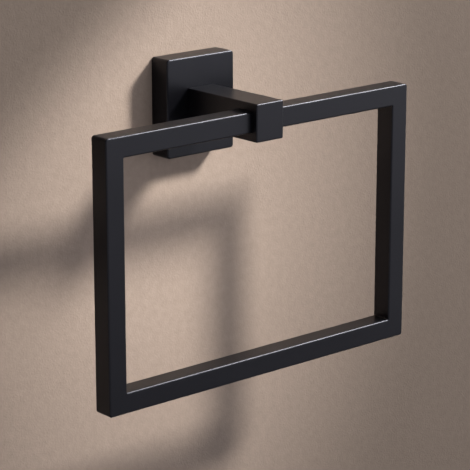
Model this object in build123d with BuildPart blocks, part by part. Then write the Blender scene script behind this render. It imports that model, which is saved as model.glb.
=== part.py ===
from build123d import *
import os
from math import cos, radians, tan

# Square towel ring: a hollow wall plate over a bracket, a post, and a frame of square bar through it.
# Millimetres. X runs along the wall, Z is up and the wall is the plane Y = 0.
# A depth is a distance out from the wall, towards -Y. The origin is the centre of the plate's back.

# Wall plate
plate_width = 50.0
plate_height = 58.0
plate_depth = 14.0
plate_side_wall = 2.5
plate_face_wall = 3.5
plate_corner_radius = 2.0
plate_edge_radius = 1.0
cavity_corner_radius = 2.0
cavity_floor_radius = 1.0

# Post
projection = 74.0
post_width = 20.0
post_height = 22.0
post_edge_radius = 0.8
tenon_width = 12.0
tenon_clearance = 0.15
tenon_setback = 0.3

# Ring
ring_width = 225.0
ring_height = 156.0
bar_face = 12.0
bar_depth = 13.0
bar_edge_radius = 0.9
bar_clearance = 0.1
bar_hole_corner_radius = 0.5
bar_cover = 4.0
ring_corner_radius = 1.6
window_corner_radius = 0.5

# Bracket
bracket_width = 26.0
bracket_sheet = 2.0
bracket_bend_radius = 1.5
bracket_corner_radius = 3.0
flange_front_gap = 2.0
flange_lean = 12.0
slot_spacing = 28.0
slot_width = 5.0
slot_length = 8.0
screw_window = 14.0

# Post screw and its washers
post_screw_diameter = 6.0
post_screw_length = 20.0
post_screw_head = 10.5
post_screw_head_height = 3.3
post_screw_head_flat = 5.6
post_screw_rim = 0.8
post_screw_key = 4.0
post_screw_key_depth = 2.0
post_screw_chamfer = 0.8
post_hole_spare = 4.0
washer_clearance = 0.2
plain_washer_diameter = 18.0
plain_washer_thickness = 1.6
spring_washer_diameter = 11.8
spring_washer_thickness = 1.6
spring_washer_split = 1.0
spring_washer_slant = 30.0

# Set screws
set_screw_diameter = 4.0
set_screw_point = 2.4
set_screw_rim_chamfer = 0.3
set_screw_key = 2.0
set_screw_key_depth = 2.0
plate_set_screw_length = 6.0
plate_set_screw_recess = 0.5
ring_set_screw_length = 4.0
set_screw_boss_width = 9.0
set_screw_boss_rise = 2.0
set_screw_hole_chamfer = 0.4
thread_clearance = 0.05

# What follows from them
cavity_width = plate_width - 2 * plate_side_wall
cavity_height = plate_height - 2 * plate_side_wall
cavity_depth = plate_depth - plate_face_wall
set_screw_depth = plate_depth / 2
set_screw_hole_radius = set_screw_diameter / 2 + thread_clearance
post_hole_radius = post_screw_diameter / 2 + thread_clearance

bar_front = projection - bar_cover
bar_back = bar_front - bar_depth
bar_middle = bar_back + bar_depth / 2
ring_middle = (bar_face - ring_height) / 2

spring_washer_back = cavity_depth - plain_washer_thickness
head_seat = spring_washer_back - spring_washer_thickness
head_top = head_seat - post_screw_head_height
post_screw_end = head_seat + post_screw_length
tenon_end = cavity_depth + tenon_setback

plate_set_screw_tip = plate_set_screw_recess + plate_set_screw_length - plate_height / 2
flange_reach = cavity_depth - flange_front_gap
flange_slope = tan(radians(flange_lean))
flange_top = cavity_height / 2
flange_root = plate_set_screw_tip + (set_screw_depth + set_screw_point / 2) * flange_slope
half_sheet = bracket_sheet / 2
flange_rise = half_sheet / cos(radians(flange_lean))


# Hollow cover, open towards the wall
with BuildPart() as wall_plate:
    with BuildSketch(Plane.XZ):
        Rectangle(plate_width, plate_height)
    extrude(amount=plate_depth)
    fillet(wall_plate.edges().filter_by(Axis.Y), plate_corner_radius)
    fillet(wall_plate.faces().sort_by(Axis.Y)[0].edges(), plate_edge_radius)

    with BuildSketch(Plane.XZ):
        RectangleRounded(cavity_width, cavity_height, cavity_corner_radius)
    extrude(amount=cavity_depth, mode=Mode.SUBTRACT)
    cavity_floor = wall_plate.faces().filter_by(Axis.Y).sort_by(Axis.Y)[1]
    fillet(cavity_floor.edges(), cavity_floor_radius)

    # A boss inside the lower wall gives the set screw its length of thread
    with BuildSketch(Plane.XY.offset(-cavity_height / 2)):
        with Locations((0, -(set_screw_depth + cavity_depth) / 2)):
            Rectangle(set_screw_boss_width, cavity_depth - set_screw_depth)
        with Locations((0, -set_screw_depth)):
            Circle(set_screw_boss_width / 2)
    extrude(amount=set_screw_boss_rise)
    with BuildSketch(Plane.XY.offset(-plate_height / 2)):
        with Locations((0, -set_screw_depth)):
            Circle(set_screw_hole_radius)
    extrude(amount=plate_side_wall + set_screw_boss_rise, mode=Mode.SUBTRACT)
    plate_underside = wall_plate.faces().sort_by(Axis.Z)[0]
    chamfer(plate_underside.edges().filter_by(GeomType.CIRCLE), set_screw_hole_chamfer)

    # Square hole that keeps the post from turning
    with BuildSketch(Plane.XZ.offset(cavity_depth)):
        Rectangle(tenon_width + 2 * tenon_clearance, tenon_width + 2 * tenon_clearance)
    extrude(amount=plate_face_wall, mode=Mode.SUBTRACT)


# Post, with a tenon in the plate and the bar's hole through its front end
with BuildPart() as post:
    with BuildSketch(Plane.XZ.offset(plate_depth)):
        Rectangle(post_width, post_height)
    extrude(amount=projection - plate_depth)
    fillet(post.edges().filter_by(Axis.Y), post_edge_radius)
    fillet(post.faces().sort_by(Axis.Y)[0].edges(), post_edge_radius)

    with BuildSketch(Plane.XZ.offset(tenon_end)):
        Rectangle(tenon_width, tenon_width)
    extrude(amount=plate_depth - tenon_end)
    with BuildSketch(Plane.XZ.offset(tenon_end)):
        Circle(post_hole_radius)
    extrude(amount=post_screw_end + post_hole_spare - tenon_end, mode=Mode.SUBTRACT)

    with BuildSketch(Plane.YZ):
        with Locations((-bar_middle, 0)):
            RectangleRounded(
                bar_depth + 2 * bar_clearance,
                bar_face + 2 * bar_clearance,
                bar_hole_corner_radius,
            )
    extrude(amount=post_width, both=True, mode=Mode.SUBTRACT)
    with BuildSketch(Plane.XY.offset(-post_height / 2)):
        with Locations((0, -bar_middle)):
            Circle(set_screw_hole_radius)
    extrude(amount=post_height / 2, mode=Mode.SUBTRACT)
    post_underside = post.faces().sort_by(Axis.Z)[0]
    chamfer(post_underside.edges().filter_by(GeomType.CIRCLE), set_screw_hole_chamfer)


# Ring: one welded frame of bar, its top bar centred in the post
with BuildPart() as ring:
    with BuildSketch(Plane.XZ.offset(bar_back)):
        with Locations((0, ring_middle)):
            RectangleRounded(ring_width, ring_height, ring_corner_radius)
            RectangleRounded(
                ring_width - 2 * bar_face,
                ring_height - 2 * bar_face,
                window_corner_radius,
                mode=Mode.SUBTRACT,
            )
    extrude(amount=bar_depth)
    fillet(ring.faces().filter_by(Axis.Y).edges(), bar_edge_radius)


# Bracket: a strip folded at both ends. The plate hangs on the upper flange, and the lower one leans
# down and out, so the set screw under it draws the plate to the wall.
with BuildPart() as mounting_bracket:
    with BuildSketch(Plane.YZ):
        with BuildLine():
            FilletPolyline(
                (-flange_reach, flange_top - half_sheet),
                (-half_sheet, flange_top - half_sheet),
                (-half_sheet, flange_root + flange_rise - half_sheet * flange_slope),
                (-flange_reach, flange_root + flange_rise - flange_reach * flange_slope),
                radius=bracket_bend_radius + half_sheet,
            )
        trace(line_width=bracket_sheet)
    extrude(amount=bracket_width / 2, both=True)
    flange_corners = mounting_bracket.edges().filter_by(GeomType.LINE).group_by(SortBy.LENGTH)[0]
    fillet(flange_corners, bracket_corner_radius)
    with BuildSketch(Plane.XZ):
        with GridLocations(0, slot_spacing, 1, 2):
            SlotOverall(slot_length, slot_width, rotation=90)
        Circle(screw_window / 2)
    extrude(amount=bracket_sheet, mode=Mode.SUBTRACT)


# Button head screw that holds the post on the plate
with BuildPart() as post_screw:
    with BuildSketch(Plane.XY):
        with BuildLine():
            rim = (post_screw_head / 2, post_screw_rim - head_seat)
            dome = TangentArc(rim, (post_screw_head_flat / 2, -head_top), tangent=(0, 1))
            Polyline(
                dome @ 1,
                (0, -head_top),
                (0, -post_screw_end),
                (post_screw_diameter / 2 - post_screw_chamfer, -post_screw_end),
                (post_screw_diameter / 2, post_screw_chamfer - post_screw_end),
                (post_screw_diameter / 2, -head_seat),
                (post_screw_head / 2, -head_seat),
                dome @ 0,
            )
        make_face()
    revolve(axis=Axis.Y)
    with BuildSketch(Plane.XZ.offset(head_top)):
        RegularPolygon(post_screw_key / 2, 6, major_radius=False)
    extrude(amount=post_screw_key_depth, mode=Mode.SUBTRACT)


# Wide washer across the plate's square hole
with BuildPart() as plain_washer:
    with BuildSketch(Plane.XZ.offset(cavity_depth)):
        Circle(plain_washer_diameter / 2)
        Circle(post_screw_diameter / 2 + washer_clearance, mode=Mode.SUBTRACT)
    extrude(amount=-plain_washer_thickness)


# Split washer under the screw's head
with BuildPart() as spring_washer:
    with BuildSketch(Plane.XZ.offset(spring_washer_back)):
        Circle(spring_washer_diameter / 2)
        Circle(post_screw_diameter / 2 + washer_clearance, mode=Mode.SUBTRACT)
    extrude(amount=-spring_washer_thickness)
    split_shift = spring_washer_thickness * tan(radians(spring_washer_slant))
    with BuildSketch(Plane.XY):
        with Locations((0, spring_washer_thickness / 2 - spring_washer_back)):
            Polygon(
                (-split_shift / 2, -spring_washer_thickness / 2),
                (spring_washer_split - split_shift / 2, -spring_washer_thickness / 2),
                (spring_washer_split + split_shift / 2, spring_washer_thickness / 2),
                (split_shift / 2, spring_washer_thickness / 2),
            )
    extrude(amount=spring_washer_diameter, mode=Mode.SUBTRACT)


# Socket set screw that starts at its point and runs along the plane's normal
def set_screw(point, length):
    along = Axis(point.origin, point.z_dir)
    with BuildPart() as screw:
        with BuildSketch(point):
            Circle(set_screw_diameter / 2)
        extrude(amount=length)
        chamfer(screw.edges().sort_by(along)[0], (set_screw_diameter - set_screw_point) / 2)
        chamfer(screw.edges().sort_by(along)[-1], set_screw_rim_chamfer)
        with BuildSketch(point.offset(length)):
            RegularPolygon(set_screw_key / 2, 6, major_radius=False)
        extrude(amount=-set_screw_key_depth, mode=Mode.SUBTRACT)
    return screw


plate_set_screw = set_screw(
    Plane((0, -set_screw_depth, plate_set_screw_tip), x_dir=(1, 0, 0), z_dir=(0, 0, -1)),
    plate_set_screw_length,
)
ring_set_screw = set_screw(
    Plane((0, -bar_middle, -bar_face / 2), x_dir=(1, 0, 0), z_dir=(0, 0, -1)),
    ring_set_screw_length,
)


pieces = {
    "wall_plate": wall_plate,
    "post": post,
    "ring": ring,
    "mounting_bracket": mounting_bracket,
    "post_screw": post_screw,
    "plain_washer": plain_washer,
    "spring_washer": spring_washer,
    "plate_set_screw": plate_set_screw,
    "ring_set_screw": ring_set_screw,
}
os.makedirs("parts", exist_ok=True)
for name, piece in pieces.items():
    piece.part.label = name
    export_step(piece.part, f"parts/{name}.step")
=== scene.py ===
import bpy
import bmesh
import math
from mathutils import Matrix, Vector


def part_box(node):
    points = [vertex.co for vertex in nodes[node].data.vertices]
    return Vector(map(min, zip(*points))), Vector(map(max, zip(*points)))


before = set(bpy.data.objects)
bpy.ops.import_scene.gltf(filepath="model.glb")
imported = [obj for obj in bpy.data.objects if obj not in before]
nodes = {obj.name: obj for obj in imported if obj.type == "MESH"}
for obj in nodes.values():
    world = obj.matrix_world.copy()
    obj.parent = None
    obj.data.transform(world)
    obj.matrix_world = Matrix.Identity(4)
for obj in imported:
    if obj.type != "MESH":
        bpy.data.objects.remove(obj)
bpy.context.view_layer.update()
print("frame loaded:", len(nodes), "nodes")


# Small helpers for node trees

def addNode(tree, kind, place, **values):
    node = tree.nodes.new(kind)
    node.location = place
    for name, value in values.items():
        setattr(node, name, value)
    return node


def newGroup(name, inputs, outputs):
    tree = bpy.data.node_groups.new(name, "ShaderNodeTree")
    for direction, sockets in (("INPUT", inputs), ("OUTPUT", outputs)):
        for label, kind in sockets.items():
            tree.interface.new_socket(name=label, in_out=direction, socket_type="NodeSocket" + kind)
    start = addNode(tree, "NodeGroupInput", (-900, 0))
    end = addNode(tree, "NodeGroupOutput", (700, 0))
    return tree, start, end


def newMaterial(name):
    material = bpy.data.materials.new(name)
    material.use_nodes = True
    tree = material.node_tree
    tree.nodes.clear()
    output = addNode(tree, "ShaderNodeOutputMaterial", (700, 0))
    shader = addNode(tree, "ShaderNodeBsdfPrincipled", (350, 0))
    tree.links.new(shader.outputs["BSDF"], output.inputs["Surface"])
    return material, tree, shader


# Powder coat: fine orange peel, with colour and gloss that drift a little

powderPattern = {
    "grainDetail": 2.0,
    "peelDetail": 1.0,
    "driftDetail": 3.0,
    "grainShare": 0.3,
}


def makePowderGroup():
    tree, start, end = newGroup(
        "powderCoat",
        {
            "Vector": "Vector",
            "Colour": "Color",
            "Colour Drift": "Float",
            "Roughness": "Float",
            "Roughness Drift": "Float",
            "Grain Scale": "Float",
            "Peel Scale": "Float",
            "Drift Scale": "Float",
        },
        {"Colour": "Color", "Roughness": "Float", "Height": "Float"},
    )
    links = tree.links
    grain = addNode(tree, "ShaderNodeTexNoise", (-600, 250))
    grain.inputs["Detail"].default_value = powderPattern["grainDetail"]
    peel = addNode(tree, "ShaderNodeTexNoise", (-600, 0))
    peel.inputs["Detail"].default_value = powderPattern["peelDetail"]
    drift = addNode(tree, "ShaderNodeTexNoise", (-600, -250))
    drift.inputs["Detail"].default_value = powderPattern["driftDetail"]
    for noise, scale in ((grain, "Grain Scale"), (peel, "Peel Scale"), (drift, "Drift Scale")):
        links.new(start.outputs["Vector"], noise.inputs["Vector"])
        links.new(start.outputs[scale], noise.inputs["Scale"])

    # height: mostly orange peel, with a trace of grain
    grainPart = addNode(tree, "ShaderNodeMath", (-350, 250), operation="MULTIPLY")
    grainPart.inputs[1].default_value = powderPattern["grainShare"]
    links.new(grain.outputs["Fac"], grainPart.inputs[0])
    height = addNode(tree, "ShaderNodeMath", (-100, 200), operation="ADD")
    links.new(peel.outputs["Fac"], height.inputs[0])
    links.new(grainPart.outputs[0], height.inputs[1])
    links.new(height.outputs[0], end.inputs["Height"])

    # drift around zero
    centred = addNode(tree, "ShaderNodeMath", (-350, -250), operation="SUBTRACT")
    centred.inputs[1].default_value = 0.5
    links.new(drift.outputs["Fac"], centred.inputs[0])

    rough = addNode(tree, "ShaderNodeMath", (-100, -50), operation="MULTIPLY_ADD")
    links.new(centred.outputs[0], rough.inputs[0])
    links.new(start.outputs["Roughness Drift"], rough.inputs[1])
    links.new(start.outputs["Roughness"], rough.inputs[2])
    links.new(rough.outputs[0], end.inputs["Roughness"])

    gain = addNode(tree, "ShaderNodeMath", (-100, -250), operation="MULTIPLY_ADD")
    gain.inputs[2].default_value = 1.0
    links.new(centred.outputs[0], gain.inputs[0])
    links.new(start.outputs["Colour Drift"], gain.inputs[1])
    tint = addNode(tree, "ShaderNodeVectorMath", (150, -250), operation="SCALE")
    links.new(start.outputs["Colour"], tint.inputs[0])
    links.new(gain.outputs[0], tint.inputs["Scale"])
    links.new(tint.outputs["Vector"], end.inputs["Colour"])
    return tree


powderGroup = makePowderGroup()

blackCoat = {
    "colour": (0.003, 0.003, 0.0042, 1),
    "specular": 0.28,
    "specularTint": (0.86, 0.87, 1.0, 1),
    "colourDrift": 0.35,
    "roughness": 0.34,
    "roughnessDrift": 0.10,
    "grainScale": 2600.0,
    "peelScale": 700.0,
    "driftScale": 18.0,
    "bump": 0.025,
    "bumpDistance": 0.0002,
}


def makeBlackCoat():
    material, tree, shader = newMaterial("blackCoat")
    links = tree.links
    shader.inputs["Specular IOR Level"].default_value = blackCoat["specular"]
    shader.inputs["Specular Tint"].default_value = blackCoat["specularTint"]
    place = addNode(tree, "ShaderNodeTexCoord", (-700, 0))
    powder = addNode(tree, "ShaderNodeGroup", (-350, 0), node_tree=powderGroup)
    powder.inputs["Colour"].default_value = blackCoat["colour"]
    powder.inputs["Colour Drift"].default_value = blackCoat["colourDrift"]
    powder.inputs["Roughness"].default_value = blackCoat["roughness"]
    powder.inputs["Roughness Drift"].default_value = blackCoat["roughnessDrift"]
    powder.inputs["Grain Scale"].default_value = blackCoat["grainScale"]
    powder.inputs["Peel Scale"].default_value = blackCoat["peelScale"]
    powder.inputs["Drift Scale"].default_value = blackCoat["driftScale"]
    bump = addNode(tree, "ShaderNodeBump", (0, -250))
    bump.inputs["Strength"].default_value = blackCoat["bump"]
    bump.inputs["Distance"].default_value = blackCoat["bumpDistance"]
    links.new(place.outputs["Object"], powder.inputs["Vector"])
    links.new(powder.outputs["Colour"], shader.inputs["Base Color"])
    links.new(powder.outputs["Roughness"], shader.inputs["Roughness"])
    links.new(powder.outputs["Height"], bump.inputs["Height"])
    links.new(bump.outputs["Normal"], shader.inputs["Normal"])
    return material


# Plated steel: lines left by rolling or turning, under patches of a second tint

platingPattern = {
    "lineDetail": 3.0,
    "patchDetail": 4.0,
    "patchSpan": (0.38, 0.66),
}


def makePlatingGroup():
    tree, start, end = newGroup(
        "plating",
        {
            "Vector": "Vector",
            "Line Vector": "Vector",
            "Colour": "Color",
            "Tint": "Color",
            "Roughness": "Float",
            "Roughness Drift": "Float",
            "Line Scale": "Float",
            "Line Depth": "Float",
            "Patch Scale": "Float",
        },
        {"Colour": "Color", "Roughness": "Float", "Height": "Float"},
    )
    links = tree.links
    lines = addNode(tree, "ShaderNodeTexNoise", (-650, 200))
    lines.inputs["Detail"].default_value = platingPattern["lineDetail"]
    patches = addNode(tree, "ShaderNodeTexNoise", (-650, -150))
    patches.inputs["Detail"].default_value = platingPattern["patchDetail"]
    links.new(start.outputs["Line Vector"], lines.inputs["Vector"])
    links.new(start.outputs["Line Scale"], lines.inputs["Scale"])
    links.new(start.outputs["Vector"], patches.inputs["Vector"])
    links.new(start.outputs["Patch Scale"], patches.inputs["Scale"])
    links.new(lines.outputs["Fac"], end.inputs["Height"])

    # patches of the second tint, with soft edges
    spread = addNode(tree, "ShaderNodeMapRange", (-400, -150), interpolation_type="SMOOTHSTEP")
    spread.inputs["From Min"].default_value = platingPattern["patchSpan"][0]
    spread.inputs["From Max"].default_value = platingPattern["patchSpan"][1]
    tinted = addNode(tree, "ShaderNodeMix", (-150, -150), data_type="RGBA")
    links.new(patches.outputs["Fac"], spread.inputs["Value"])
    links.new(spread.outputs["Result"], tinted.inputs["Factor"])
    links.new(start.outputs["Colour"], tinted.inputs["A"])
    links.new(start.outputs["Tint"], tinted.inputs["B"])

    # the lines darken and lighten the colour
    centred = addNode(tree, "ShaderNodeMath", (-400, 200), operation="SUBTRACT")
    centred.inputs[1].default_value = 0.5
    gain = addNode(tree, "ShaderNodeMath", (-150, 200), operation="MULTIPLY_ADD")
    gain.inputs[2].default_value = 1.0
    shade = addNode(tree, "ShaderNodeVectorMath", (150, 0), operation="SCALE")
    links.new(lines.outputs["Fac"], centred.inputs[0])
    links.new(centred.outputs[0], gain.inputs[0])
    links.new(start.outputs["Line Depth"], gain.inputs[1])
    links.new(tinted.outputs["Result"], shade.inputs[0])
    links.new(gain.outputs[0], shade.inputs["Scale"])
    links.new(shade.outputs["Vector"], end.inputs["Colour"])

    # the patches are duller
    rough = addNode(tree, "ShaderNodeMath", (150, 250), operation="MULTIPLY_ADD")
    links.new(spread.outputs["Result"], rough.inputs[0])
    links.new(start.outputs["Roughness Drift"], rough.inputs[1])
    links.new(start.outputs["Roughness"], rough.inputs[2])
    links.new(rough.outputs[0], end.inputs["Roughness"])
    return tree


platingGroup = makePlatingGroup()

zincPlate = {
    "metallic": 1.0,
    "colour": (0.66, 0.67, 0.69, 1),
    "tint": (0.56, 0.57, 0.60, 1),
    "roughness": 0.30,
    "roughnessDrift": 0.14,
    "lineScale": 1500.0,
    "lineDepth": 0.45,
    "patchScale": 110.0,
    "bump": 0.20,
    "bumpDistance": 0.00005,
}
blackOxide = {
    "metallic": 0.7,
    "colour": (0.030, 0.030, 0.033, 1),
    "tint": (0.046, 0.040, 0.034, 1),
    "roughness": 0.34,
    "roughnessDrift": 0.16,
    "lineScale": 1800.0,
    "lineDepth": 0.5,
    "patchScale": 500.0,
    "bump": 0.20,
    "bumpDistance": 0.00005,
}
rolledStretch = (1.0, 1.0, 0.03)  # rolled lines run up the bracket


def rolledLines(tree, place):
    stretch = addNode(tree, "ShaderNodeMapping", (-650, -200))
    stretch.inputs["Scale"].default_value = rolledStretch
    tree.links.new(place.outputs["Object"], stretch.inputs["Vector"])
    return stretch.outputs["Vector"]


# rings round the post's own line, which is the frame's Y
def turnedLines(tree, place):
    split = addNode(tree, "ShaderNodeSeparateXYZ", (-1100, -200))
    flat = addNode(tree, "ShaderNodeCombineXYZ", (-900, -300))
    radius = addNode(tree, "ShaderNodeVectorMath", (-750, -300), operation="LENGTH")
    rings = addNode(tree, "ShaderNodeCombineXYZ", (-600, -200))
    tree.links.new(place.outputs["Object"], split.inputs["Vector"])
    tree.links.new(split.outputs["X"], flat.inputs["X"])
    tree.links.new(split.outputs["Z"], flat.inputs["Z"])
    tree.links.new(flat.outputs["Vector"], radius.inputs[0])
    tree.links.new(radius.outputs["Value"], rings.inputs["X"])
    tree.links.new(split.outputs["Y"], rings.inputs["Y"])
    return rings.outputs["Vector"]


def plainGrain(tree, place):
    return place.outputs["Object"]


def makePlated(name, finish, lineMaker):
    material, tree, shader = newMaterial(name)
    links = tree.links
    shader.inputs["Metallic"].default_value = finish["metallic"]
    place = addNode(tree, "ShaderNodeTexCoord", (-1300, 0))
    plating = addNode(tree, "ShaderNodeGroup", (-350, 0), node_tree=platingGroup)
    plating.inputs["Colour"].default_value = finish["colour"]
    plating.inputs["Tint"].default_value = finish["tint"]
    plating.inputs["Roughness"].default_value = finish["roughness"]
    plating.inputs["Roughness Drift"].default_value = finish["roughnessDrift"]
    plating.inputs["Line Scale"].default_value = finish["lineScale"]
    plating.inputs["Line Depth"].default_value = finish["lineDepth"]
    plating.inputs["Patch Scale"].default_value = finish["patchScale"]
    bump = addNode(tree, "ShaderNodeBump", (0, -250))
    bump.inputs["Strength"].default_value = finish["bump"]
    bump.inputs["Distance"].default_value = finish["bumpDistance"]
    links.new(place.outputs["Object"], plating.inputs["Vector"])
    links.new(lineMaker(tree, place), plating.inputs["Line Vector"])
    links.new(plating.outputs["Colour"], shader.inputs["Base Color"])
    links.new(plating.outputs["Roughness"], shader.inputs["Roughness"])
    links.new(plating.outputs["Height"], bump.inputs["Height"])
    links.new(bump.outputs["Normal"], shader.inputs["Normal"])
    return material


finishes = {
    makeBlackCoat(): ("wall_plate", "post", "ring"),
    makePlated("zincSheet", zincPlate, rolledLines): ("mounting_bracket",),
    makePlated("zincTurned", zincPlate, turnedLines): ("post_screw", "plain_washer", "spring_washer"),
    makePlated("blackOxide", blackOxide, plainGrain): ("plate_set_screw", "ring_set_screw"),
}
for material, names in finishes.items():
    for name in names:
        nodes[name].data.materials.clear()
        nodes[name].data.materials.append(material)
print("finishes set")


# Soft place: 0 at a spot, rising to 1 at its reach and beyond; the stage paints its pools of light
# and shade with it

def makePlaceGroup():
    tree, start, end = newGroup(
        "softPlace",
        {"Vector": "Vector", "Spot": "Vector", "Reach": "Vector", "Start": "Float"},
        {"Away": "Float"},
    )
    links = tree.links
    shift = addNode(tree, "ShaderNodeMapping", (-600, 0), vector_type="TEXTURE")
    length = addNode(tree, "ShaderNodeVectorMath", (-300, 0), operation="LENGTH")
    soft = addNode(tree, "ShaderNodeMapRange", (0, 0), interpolation_type="SMOOTHSTEP")
    links.new(start.outputs["Vector"], shift.inputs["Vector"])
    links.new(start.outputs["Spot"], shift.inputs["Location"])
    links.new(start.outputs["Reach"], shift.inputs["Scale"])
    links.new(shift.outputs["Vector"], length.inputs[0])
    links.new(length.outputs["Value"], soft.inputs["Value"])
    links.new(start.outputs["Start"], soft.inputs["From Min"])
    links.new(soft.outputs["Result"], end.inputs["Away"])
    return tree


placeGroup = makePlaceGroup()


# Stage: a plaster wall behind the part, open behind the plate, with painted pools of light and
# painted shade, and a pale floor well below

wall = {
    # palest colour, at the middle of the painted pool of light
    "colour": (0.403, 0.320, 0.265, 1),
    # painted shade: the darker colour away from the painted light and under the painted edge of shade
    "paintedShadeColour": (0.121, 0.096, 0.080, 1),
    "roughness": 0.9,
    "specular": 0.2,
    # painted pool of light round the part
    "paintedLightSpot": (-0.019, 0.0, -0.054),
    "paintedLightReach": (0.244, 1.0, 0.384),
    # painted light: a second pale place to the left
    "leftPaintedLightSpot": (-0.25, 0.0, -0.10),
    "leftPaintedLightReach": (0.12, 1.0, 0.30),
    "leftPaintedLightStart": 0.35,
    "shadeFacing": (-0.588, 0.0, 0.809),
    "shadeSpan": (0.036, 0.100),
    "mottleScale": 220.0,
    "grainScale": 1600.0,
    "peelScale": 850.0,
    "mottle": 0.26,
    "bump": 0.35,
    "bumpDistance": 0.0004,
    "halfWidth": 3.0,
    "height": (-1.2, 2.0),
    "gap": 0.0003,
    "openingInset": 0.0008,  # hides the opening behind the plate's round corners
}


def makePlaster():
    material, tree, shader = newMaterial("plaster")
    links = tree.links
    shader.inputs["Roughness"].default_value = wall["roughness"]
    shader.inputs["Specular IOR Level"].default_value = wall["specular"]
    place = addNode(tree, "ShaderNodeTexCoord", (-1100, 0))

    # painted pool of light: palest round the part, painted darker far away
    paintedLight = addNode(tree, "ShaderNodeGroup", (-800, 400), node_tree=placeGroup)
    paintedLight.inputs["Spot"].default_value = wall["paintedLightSpot"]
    paintedLight.inputs["Reach"].default_value = wall["paintedLightReach"]
    near = addNode(tree, "ShaderNodeMix", (-600, 400), data_type="RGBA")
    near.inputs["A"].default_value = wall["colour"]
    near.inputs["B"].default_value = wall["paintedShadeColour"]
    links.new(place.outputs["Object"], paintedLight.inputs["Vector"])
    links.new(paintedLight.outputs["Away"], near.inputs["Factor"])

    # painted light, pale again to the left, which shows in the bars' left sides
    paintedLeftLight = addNode(tree, "ShaderNodeGroup", (-800, 650), node_tree=placeGroup)
    paintedLeftLight.inputs["Spot"].default_value = wall["leftPaintedLightSpot"]
    paintedLeftLight.inputs["Reach"].default_value = wall["leftPaintedLightReach"]
    paintedLeftLight.inputs["Start"].default_value = wall["leftPaintedLightStart"]
    both = addNode(tree, "ShaderNodeMix", (-500, 600), data_type="RGBA")
    both.inputs["A"].default_value = wall["colour"]
    links.new(place.outputs["Object"], paintedLeftLight.inputs["Vector"])
    links.new(paintedLeftLight.outputs["Away"], both.inputs["Factor"])
    links.new(near.outputs["Result"], both.inputs["B"])

    # a soft edge of shade across the upper left
    facing = addNode(tree, "ShaderNodeVectorMath", (-800, 150), operation="DOT_PRODUCT")
    facing.inputs[1].default_value = wall["shadeFacing"]
    shade = addNode(tree, "ShaderNodeMapRange", (-600, 150), interpolation_type="SMOOTHSTEP")
    shade.inputs["From Min"].default_value = wall["shadeSpan"][0]
    shade.inputs["From Max"].default_value = wall["shadeSpan"][1]
    colour = addNode(tree, "ShaderNodeMix", (-400, 300), data_type="RGBA")
    colour.inputs["B"].default_value = wall["paintedShadeColour"]
    links.new(place.outputs["Object"], facing.inputs[0])
    links.new(facing.outputs["Value"], shade.inputs["Value"])
    links.new(shade.outputs["Result"], colour.inputs["Factor"])
    links.new(both.outputs["Result"], colour.inputs["A"])

    # trowelled mottling and fine grain
    powder = addNode(tree, "ShaderNodeGroup", (-150, 200), node_tree=powderGroup)
    powder.inputs["Colour Drift"].default_value = wall["mottle"]
    powder.inputs["Drift Scale"].default_value = wall["mottleScale"]
    powder.inputs["Grain Scale"].default_value = wall["grainScale"]
    powder.inputs["Peel Scale"].default_value = wall["peelScale"]
    bump = addNode(tree, "ShaderNodeBump", (100, -250))
    bump.inputs["Strength"].default_value = wall["bump"]
    bump.inputs["Distance"].default_value = wall["bumpDistance"]
    links.new(place.outputs["Object"], powder.inputs["Vector"])
    links.new(colour.outputs["Result"], powder.inputs["Colour"])
    links.new(powder.outputs["Colour"], shader.inputs["Base Color"])
    links.new(powder.outputs["Height"], bump.inputs["Height"])
    links.new(bump.outputs["Normal"], shader.inputs["Normal"])

    # clear from behind, so that the part's back can be seen
    geometry = addNode(tree, "ShaderNodeNewGeometry", (100, 450))
    clear = addNode(tree, "ShaderNodeBsdfTransparent", (350, 250))
    mix = addNode(tree, "ShaderNodeMixShader", (550, 150))
    links.new(geometry.outputs["Backfacing"], mix.inputs["Fac"])
    links.new(shader.outputs["BSDF"], mix.inputs[1])
    links.new(clear.outputs["BSDF"], mix.inputs[2])
    links.new(mix.outputs["Shader"], tree.nodes["Material Output"].inputs["Surface"])
    return material


def addStage(name, mesh, material):
    data = bpy.data.meshes.new(name)
    mesh.to_mesh(data)
    mesh.free()
    data.materials.append(material)
    piece = bpy.data.objects.new(name, data)
    bpy.context.scene.collection.objects.link(piece)


def makeWall():
    low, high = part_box("wall_plate")
    inset = wall["openingInset"]
    outline = (wall["halfWidth"], *wall["height"])
    opening = (high.x - inset, low.z + inset, high.z - inset)
    mesh = bmesh.new()
    edges = []
    for side, bottom, top in (outline, opening):
        corners = ((-side, bottom), (side, bottom), (side, top), (-side, top))
        loop = [mesh.verts.new((x, wall["gap"], z)) for x, z in corners]
        edges += [mesh.edges.new((loop[i], loop[(i + 1) % 4])) for i in range(4)]
    bmesh.ops.bridge_loops(mesh, edges=edges)
    bmesh.ops.recalc_face_normals(mesh, faces=mesh.faces)
    if mesh.faces[:][0].normal.y > 0:  # the front looks into the room
        bmesh.ops.reverse_faces(mesh, faces=mesh.faces[:])
    addStage("wall", mesh, makePlaster())


floor = {
    "colour": (0.80, 0.785, 0.82, 1),
    "roughness": 0.8,
    "paleColour": (0.92, 0.90275, 0.943, 1),
    "shadeColour": (0.24, 0.2355, 0.246, 1),
    "shadeSpot": (0.8, -1.6, -1.2),
    "shadeReach": (4.4, 4.4, 4.4),
    "shadeStart": 0.40,
    "halfSize": 16.0,
    "level": -1.2,
}


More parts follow.
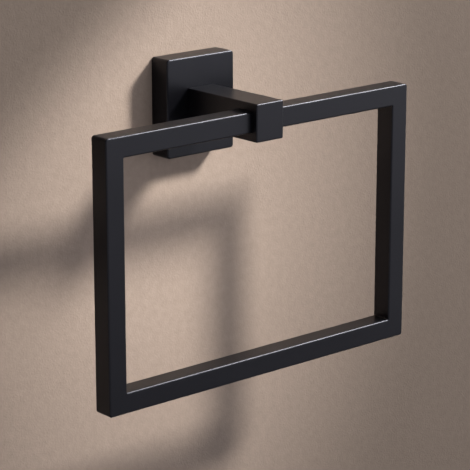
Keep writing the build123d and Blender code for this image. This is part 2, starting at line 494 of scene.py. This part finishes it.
# 1 for what the camera sees, straight, in gloss or through glass
def seenRays(tree, place):
    ray = addNode(tree, "ShaderNodeLightPath", place)
    seen = addNode(tree, "ShaderNodeMath", (place[0] + 200, place[1]), operation="MAXIMUM")
    through = addNode(tree, "ShaderNodeMath", (place[0] + 400, place[1]), operation="MAXIMUM")
    tree.links.new(ray.outputs["Is Camera Ray"], seen.inputs[0])
    tree.links.new(ray.outputs["Is Glossy Ray"], seen.inputs[1])
    tree.links.new(seen.outputs[0], through.inputs[0])
    tree.links.new(ray.outputs["Is Transmission Ray"], through.inputs[1])
    return through.outputs[0]


# The floor looks pale to the camera and in reflections, and sends no more light to the part
def makePaleFloor():
    material, tree, shader = newMaterial("paleFloor")
    links = tree.links
    shader.inputs["Base Color"].default_value = floor["colour"]
    shader.inputs["Roughness"].default_value = floor["roughness"]
    shader.inputs["Specular IOR Level"].default_value = 0.0

    # in shade near the wall, which darkens the fronts of the lower bars
    place = addNode(tree, "ShaderNodeTexCoord", (-900, -200))
    shade = addNode(tree, "ShaderNodeGroup", (-650, -200), node_tree=placeGroup)
    shade.inputs["Spot"].default_value = floor["shadeSpot"]
    shade.inputs["Reach"].default_value = floor["shadeReach"]
    shade.inputs["Start"].default_value = floor["shadeStart"]
    colour = addNode(tree, "ShaderNodeMix", (-350, -200), data_type="RGBA")
    colour.inputs["A"].default_value = floor["shadeColour"]
    colour.inputs["B"].default_value = floor["paleColour"]
    glow = addNode(tree, "ShaderNodeEmission", (0, -250))
    links.new(place.outputs["Object"], shade.inputs["Vector"])
    links.new(shade.outputs["Away"], colour.inputs["Factor"])
    links.new(colour.outputs["Result"], glow.inputs["Color"])

    mix = addNode(tree, "ShaderNodeMixShader", (550, 0))
    links.new(seenRays(tree, (-300, 300)), mix.inputs["Fac"])
    links.new(shader.outputs["BSDF"], mix.inputs[1])
    links.new(glow.outputs["Emission"], mix.inputs[2])
    links.new(mix.outputs["Shader"], tree.nodes["Material Output"].inputs["Surface"])
    return material


def makeFloor():
    mesh = bmesh.new()
    bmesh.ops.create_grid(mesh, x_segments=1, y_segments=1, size=floor["halfSize"])
    bmesh.ops.translate(mesh, verts=mesh.verts[:], vec=(0, 0, floor["level"]))
    addStage("floor", mesh, makePaleFloor())


makeWall()
makeFloor()
print("stage set")


# Light: a warm key for the wall's shadow, a strip and a panel for the gloss, and a lamp for the back

keyLamp = {
    "direction": (0.635, -0.54, 0.635),
    "distance": 2.6,
    "target": (0.03, 0.0, -0.05),
    "size": 0.48,
    "spread": 44.0,
    "power": 8.3,
    "colour": (1.0, 0.96, 0.91),
}
stripLamp = {
    "direction": (0.680, -0.19, 0.708),
    "distance": 2.6,
    "size": (1.75, 0.6),
    "power": 205.0,
}
panelLamp = {
    "spot": (2.2, -3.35, 0.32),
    "size": (2.4, 1.7),
    "power": 26.0,
}
backLamp = {
    "spot": (0.3, 1.2, 0.5),
    "size": 0.8,
    "power": 14.0,
}


def makeLamp(name, settings, spot, target=(0, 0, 0)):
    lamp = bpy.data.lights.new(name, "AREA")
    lamp.energy = settings["power"]
    if isinstance(settings["size"], tuple):
        lamp.shape = "RECTANGLE"
        lamp.size, lamp.size_y = settings["size"]
    else:
        lamp.shape = "DISK"
        lamp.size = settings["size"]
    thing = bpy.data.objects.new(name, lamp)
    bpy.context.scene.collection.objects.link(thing)
    thing.location = spot
    thing.rotation_euler = (Vector(target) - Vector(spot)).to_track_quat("-Z", "Y").to_euler()
    thing.visible_camera = False
    return thing


def makeLamps():
    target = Vector(keyLamp["target"])
    away = Vector(keyLamp["direction"]).normalized() * keyLamp["distance"]
    key = makeLamp("key", keyLamp, target + away, target)
    key.data.spread = math.radians(keyLamp["spread"])
    key.data.color = keyLamp["colour"]
    key.visible_glossy = False  # the strip gives the gloss on the edges

    facing = Vector(stripLamp["direction"]).normalized()
    along = facing.cross(Vector((1, 0, 0))).normalized()  # long side square to the bars
    strip = makeLamp("strip", stripLamp, facing * stripLamp["distance"])
    strip.rotation_euler = Matrix((along, facing.cross(along), facing)).transposed().to_euler()
    strip.visible_diffuse = False

    spot = Vector(panelLamp["spot"])
    panel = makeLamp("panel", panelLamp, spot, (0, 0, spot.z))  # soft sheen on the fronts
    panel.visible_diffuse = False

    makeLamp("back", backLamp, backLamp["spot"])  # reaches the plate's hollow back


# a plain room round the part, brighter to the front right
surround = {
    "facing": (0.80, -0.58, 0.10),
    "span": (0.0, 0.97),
    "dark": (0.28, 0.275, 0.27, 1),
    "bright": (0.90, 0.90, 0.96, 1),
}


def makeSurround():
    world = bpy.data.worlds.new("surround")
    bpy.context.scene.world = world
    world.use_nodes = True
    tree = world.node_tree
    place = addNode(tree, "ShaderNodeTexCoord", (-900, 0))
    facing = addNode(tree, "ShaderNodeVectorMath", (-700, 0), operation="DOT_PRODUCT")
    facing.inputs[1].default_value = Vector(surround["facing"]).normalized()
    span = addNode(tree, "ShaderNodeMapRange", (-500, 0), interpolation_type="SMOOTHSTEP")
    span.inputs["From Min"].default_value = surround["span"][0]
    span.inputs["From Max"].default_value = surround["span"][1]
    colour = addNode(tree, "ShaderNodeMix", (-250, 0), data_type="RGBA")
    colour.inputs["A"].default_value = surround["dark"]
    colour.inputs["B"].default_value = surround["bright"]
    tree.links.new(place.outputs["Generated"], facing.inputs[0])
    tree.links.new(facing.outputs["Value"], span.inputs["Value"])
    tree.links.new(span.outputs["Result"], colour.inputs["Factor"])
    tree.links.new(colour.outputs["Result"], tree.nodes["Background"].inputs["Color"])


makeLamps()
makeSurround()
print("light set")


# Camera at the photograph's viewing angle

view = {
    "place": (-0.7853, -0.94917, 0.25971),
    "azimuth": -40.943,
    "elevation": 15.47,
    "focalPixels": 2154.9,
    "imagePixels": 470,
    "sensor": 36.0,
}


def makeCamera():
    turn, rise = math.radians(view["azimuth"]), math.radians(view["elevation"])
    back = Vector((math.sin(turn) * math.cos(rise), -math.cos(turn) * math.cos(rise), math.sin(rise)))
    data = bpy.data.cameras.new("camera")
    data.sensor_width = view["sensor"]
    data.lens = view["focalPixels"] / view["imagePixels"] * view["sensor"]
    camera = bpy.data.objects.new("camera", data)
    bpy.context.scene.collection.objects.link(camera)
    camera.location = view["place"]
    camera.rotation_euler = (-back).to_track_quat("-Z", "Y").to_euler()
    bpy.context.scene.camera = camera


makeCamera()
bpy.context.scene.view_settings.view_transform = "Standard"
print("camera set")
